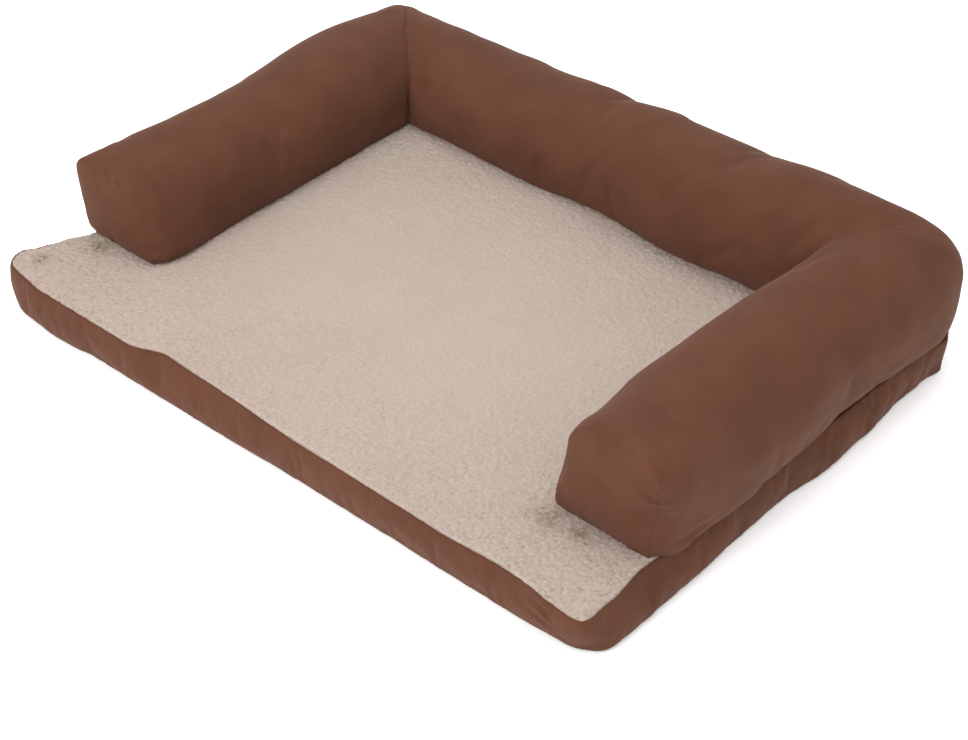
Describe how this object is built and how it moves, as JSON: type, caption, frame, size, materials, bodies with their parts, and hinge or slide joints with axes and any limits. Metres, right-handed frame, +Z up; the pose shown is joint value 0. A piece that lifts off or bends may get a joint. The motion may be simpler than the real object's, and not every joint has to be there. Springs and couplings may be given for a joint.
{
  "type": "pet cushion bed",
  "caption": "Rectangular pet bed: a flat foam pad with a fleece top and a U-shaped padded bolster round the back and both ends, open along the front.",
  "frame": {"origin": "on the floor, at the middle of the whole footprint", "axes": "+X along the bed's long side, to the right seen from the open front; +Y to the back bolster; +Z up"},
  "size_m": [1.113, 0.806, 0.2183],
  "materials": {
    "microsuede": "brushed brown microsuede with a short soft nap",
    "fleece": "short curly sherpa pile, pinkish beige",
    "underside_cloth": "plain woven dark brown cloth",
    "foam": "open-cell polyurethane foam, cream",
    "fibre_fill": "loose white polyester fibre",
    "zip_tape": "woven brown polyester tape",
    "zip_coil": "dyed nylon coil",
    "zip_metal": "antique brass coloured, satin",
    "label_cloth": "blank white woven ribbon"
  },
  "bodies": {
    "bed": {"bottom_panel": "underside_cloth", "top_panel": "fleece", "foam_core": "foam", "front_gusset": "microsuede", "left_gusset": "microsuede", "right_gusset": "microsuede", "back_gusset_lower": "microsuede", "back_gusset_upper": "microsuede", "left_arm_sleeve": "microsuede", "back_sleeve": "microsuede", "right_arm_sleeve": "microsuede", "left_end_cap": "microsuede", "right_end_cap": "microsuede", "left_arm_filling": "fibre_fill", "back_filling": "fibre_fill", "right_arm_filling": "fibre_fill", "zip_tape_lower": "zip_tape", "zip_tape_upper": "zip_tape", "zip_coil_lower": "zip_coil", "zip_coil_upper": "zip_coil", "zip_top_stop_lower": "zip_metal", "zip_top_stop_upper": "zip_metal", "zip_bottom_stop": "zip_metal", "care_label": "label_cloth"},
    "slider": {"zip_slider": "zip_metal"},
    "pull": {"zip_pull": "zip_metal"}
  },
  "joints": [
    {"name": "zip_travel", "type": "slide", "parent": "bed", "child": "slider", "axis": [1, 0, 0], "range_m": [0, 0.873]},
    {"name": "pull_swing", "type": "hinge", "parent": "slider", "child": "pull", "pos_m": [-0.4367, 0.3624, 0.0336], "axis": [0, 0, 1], "range_deg": [0, 180]}
  ]
}
